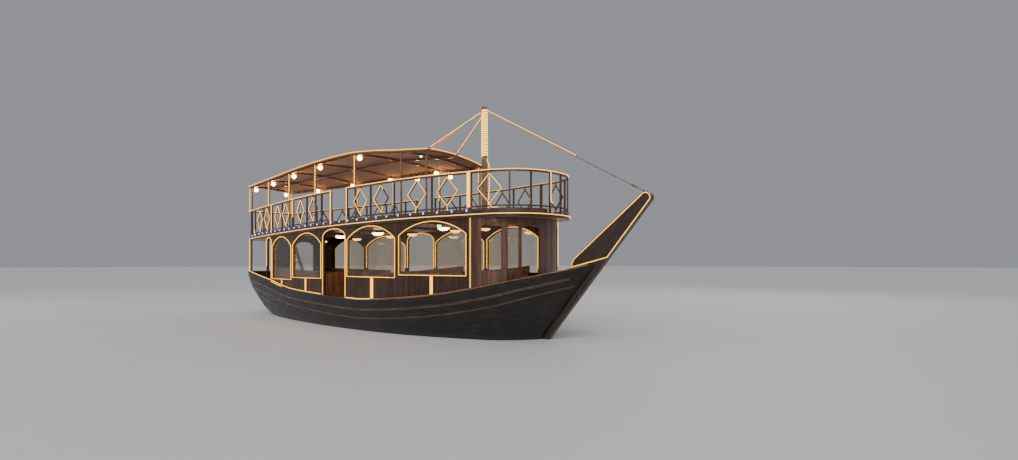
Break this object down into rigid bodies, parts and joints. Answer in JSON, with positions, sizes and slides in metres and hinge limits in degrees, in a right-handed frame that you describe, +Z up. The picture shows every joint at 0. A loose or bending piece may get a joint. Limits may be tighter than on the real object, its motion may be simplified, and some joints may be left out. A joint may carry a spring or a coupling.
{
  "type": "dhow",
  "caption": "Two-deck dinner-cruise dhow with raked stem, arched cabin windows, diamond-pattern railings, canopy, short mast with stays, rudder and propeller.",
  "frame": {"origin": "on the centreline at the waterline, amidships", "axes": "+X towards the bow, +Y to port, +Z up"},
  "size_m": [17.8, 4.18, 7.89],
  "materials": {
    "black_paint": "painted, semi-gloss",
    "dark_wood": "varnished",
    "teak": "varnished",
    "bronze": "satin",
    "cloth": "woven",
    "glazing": "clear",
    "wire": "galvanised"
  },
  "bodies": {
    "boat": {"hull": "black_paint", "keel": "black_paint", "upper_deck": "dark_wood", "wall_starboard_aft": "dark_wood", "wall_port_aft": "dark_wood", "wall_starboard_fore": "dark_wood", "wall_port_fore": "dark_wood", "glass_starboard_1": "glazing", "glass_port_1": "glazing", "glass_starboard_2": "glazing", "glass_port_2": "glazing", "glass_starboard_3": "glazing", "glass_port_3": "glazing", "glass_starboard_4": "glazing", "glass_port_4": "glazing", "wall_front": "teak", "glass_starboard_corner": "glazing", "glass_port_corner": "glazing", "glass_starboard_slim": "glazing", "glass_port_slim": "glazing", "wall_stern": "dark_wood", "stair": "teak", "stern_post_starboard": "teak", "stern_post_port": "teak", "rail_aft": "dark_wood", "rail_fore": "dark_wood", "canopy": "cloth", "stay_starboard": "wire", "stay_port": "wire", "stay_middle": "wire", "forestay": "wire", "mast": "dark_wood", "canopy_frame": "teak", "stem": "teak", "bench_starboard_aft": "teak", "bench_port_aft": "teak", "bench_starboard_fore": "teak", "bench_port_fore": "teak", "table_1": "dark_wood", "table_2": "dark_wood", "table_3": "dark_wood", "table_4": "dark_wood"},
    "rudder": {"rudder": "dark_wood"},
    "propeller": {"propeller": "bronze"},
    "door_starboard_aft": {"door_starboard_aft": "teak"},
    "door_starboard_fore": {"door_starboard_fore": "teak"},
    "door_port_aft": {"door_port_aft": "teak"},
    "door_port_fore": {"door_port_fore": "teak"}
  },
  "joints": [
    {"name": "rudder_turn", "type": "hinge", "parent": "boat", "child": "rudder", "pos_m": [-7.9, 0, -0.6], "axis": [0, 0, 1], "range_deg": [-35, 35]},
    {"name": "propeller_spin", "type": "hinge", "parent": "boat", "child": "propeller", "pos_m": [-7.31, 0, -0.65], "axis": [1, 0, 0], "continuous": true},
    {"name": "door_starboard_aft_swing", "type": "hinge", "parent": "boat", "child": "door_starboard_aft", "pos_m": [-2.1277, -1.7914, 1.35], "axis": [0, 0, -1], "range_deg": [0, 90]},
    {"name": "door_starboard_fore_swing", "type": "hinge", "parent": "boat", "child": "door_starboard_fore", "pos_m": [-0.8257, -1.8657, 1.35], "axis": [0, 0, 1], "range_deg": [0, 90]},
    {"name": "door_port_aft_swing", "type": "hinge", "parent": "boat", "child": "door_port_aft", "pos_m": [-2.1277, 1.7914, 1.35], "axis": [0, 0, 1], "range_deg": [0, 90]},
    {"name": "door_port_fore_swing", "type": "hinge", "parent": "boat", "child": "door_port_fore", "pos_m": [-0.8257, 1.8657, 1.35], "axis": [0, 0, -1], "range_deg": [0, 90]}
  ]
}
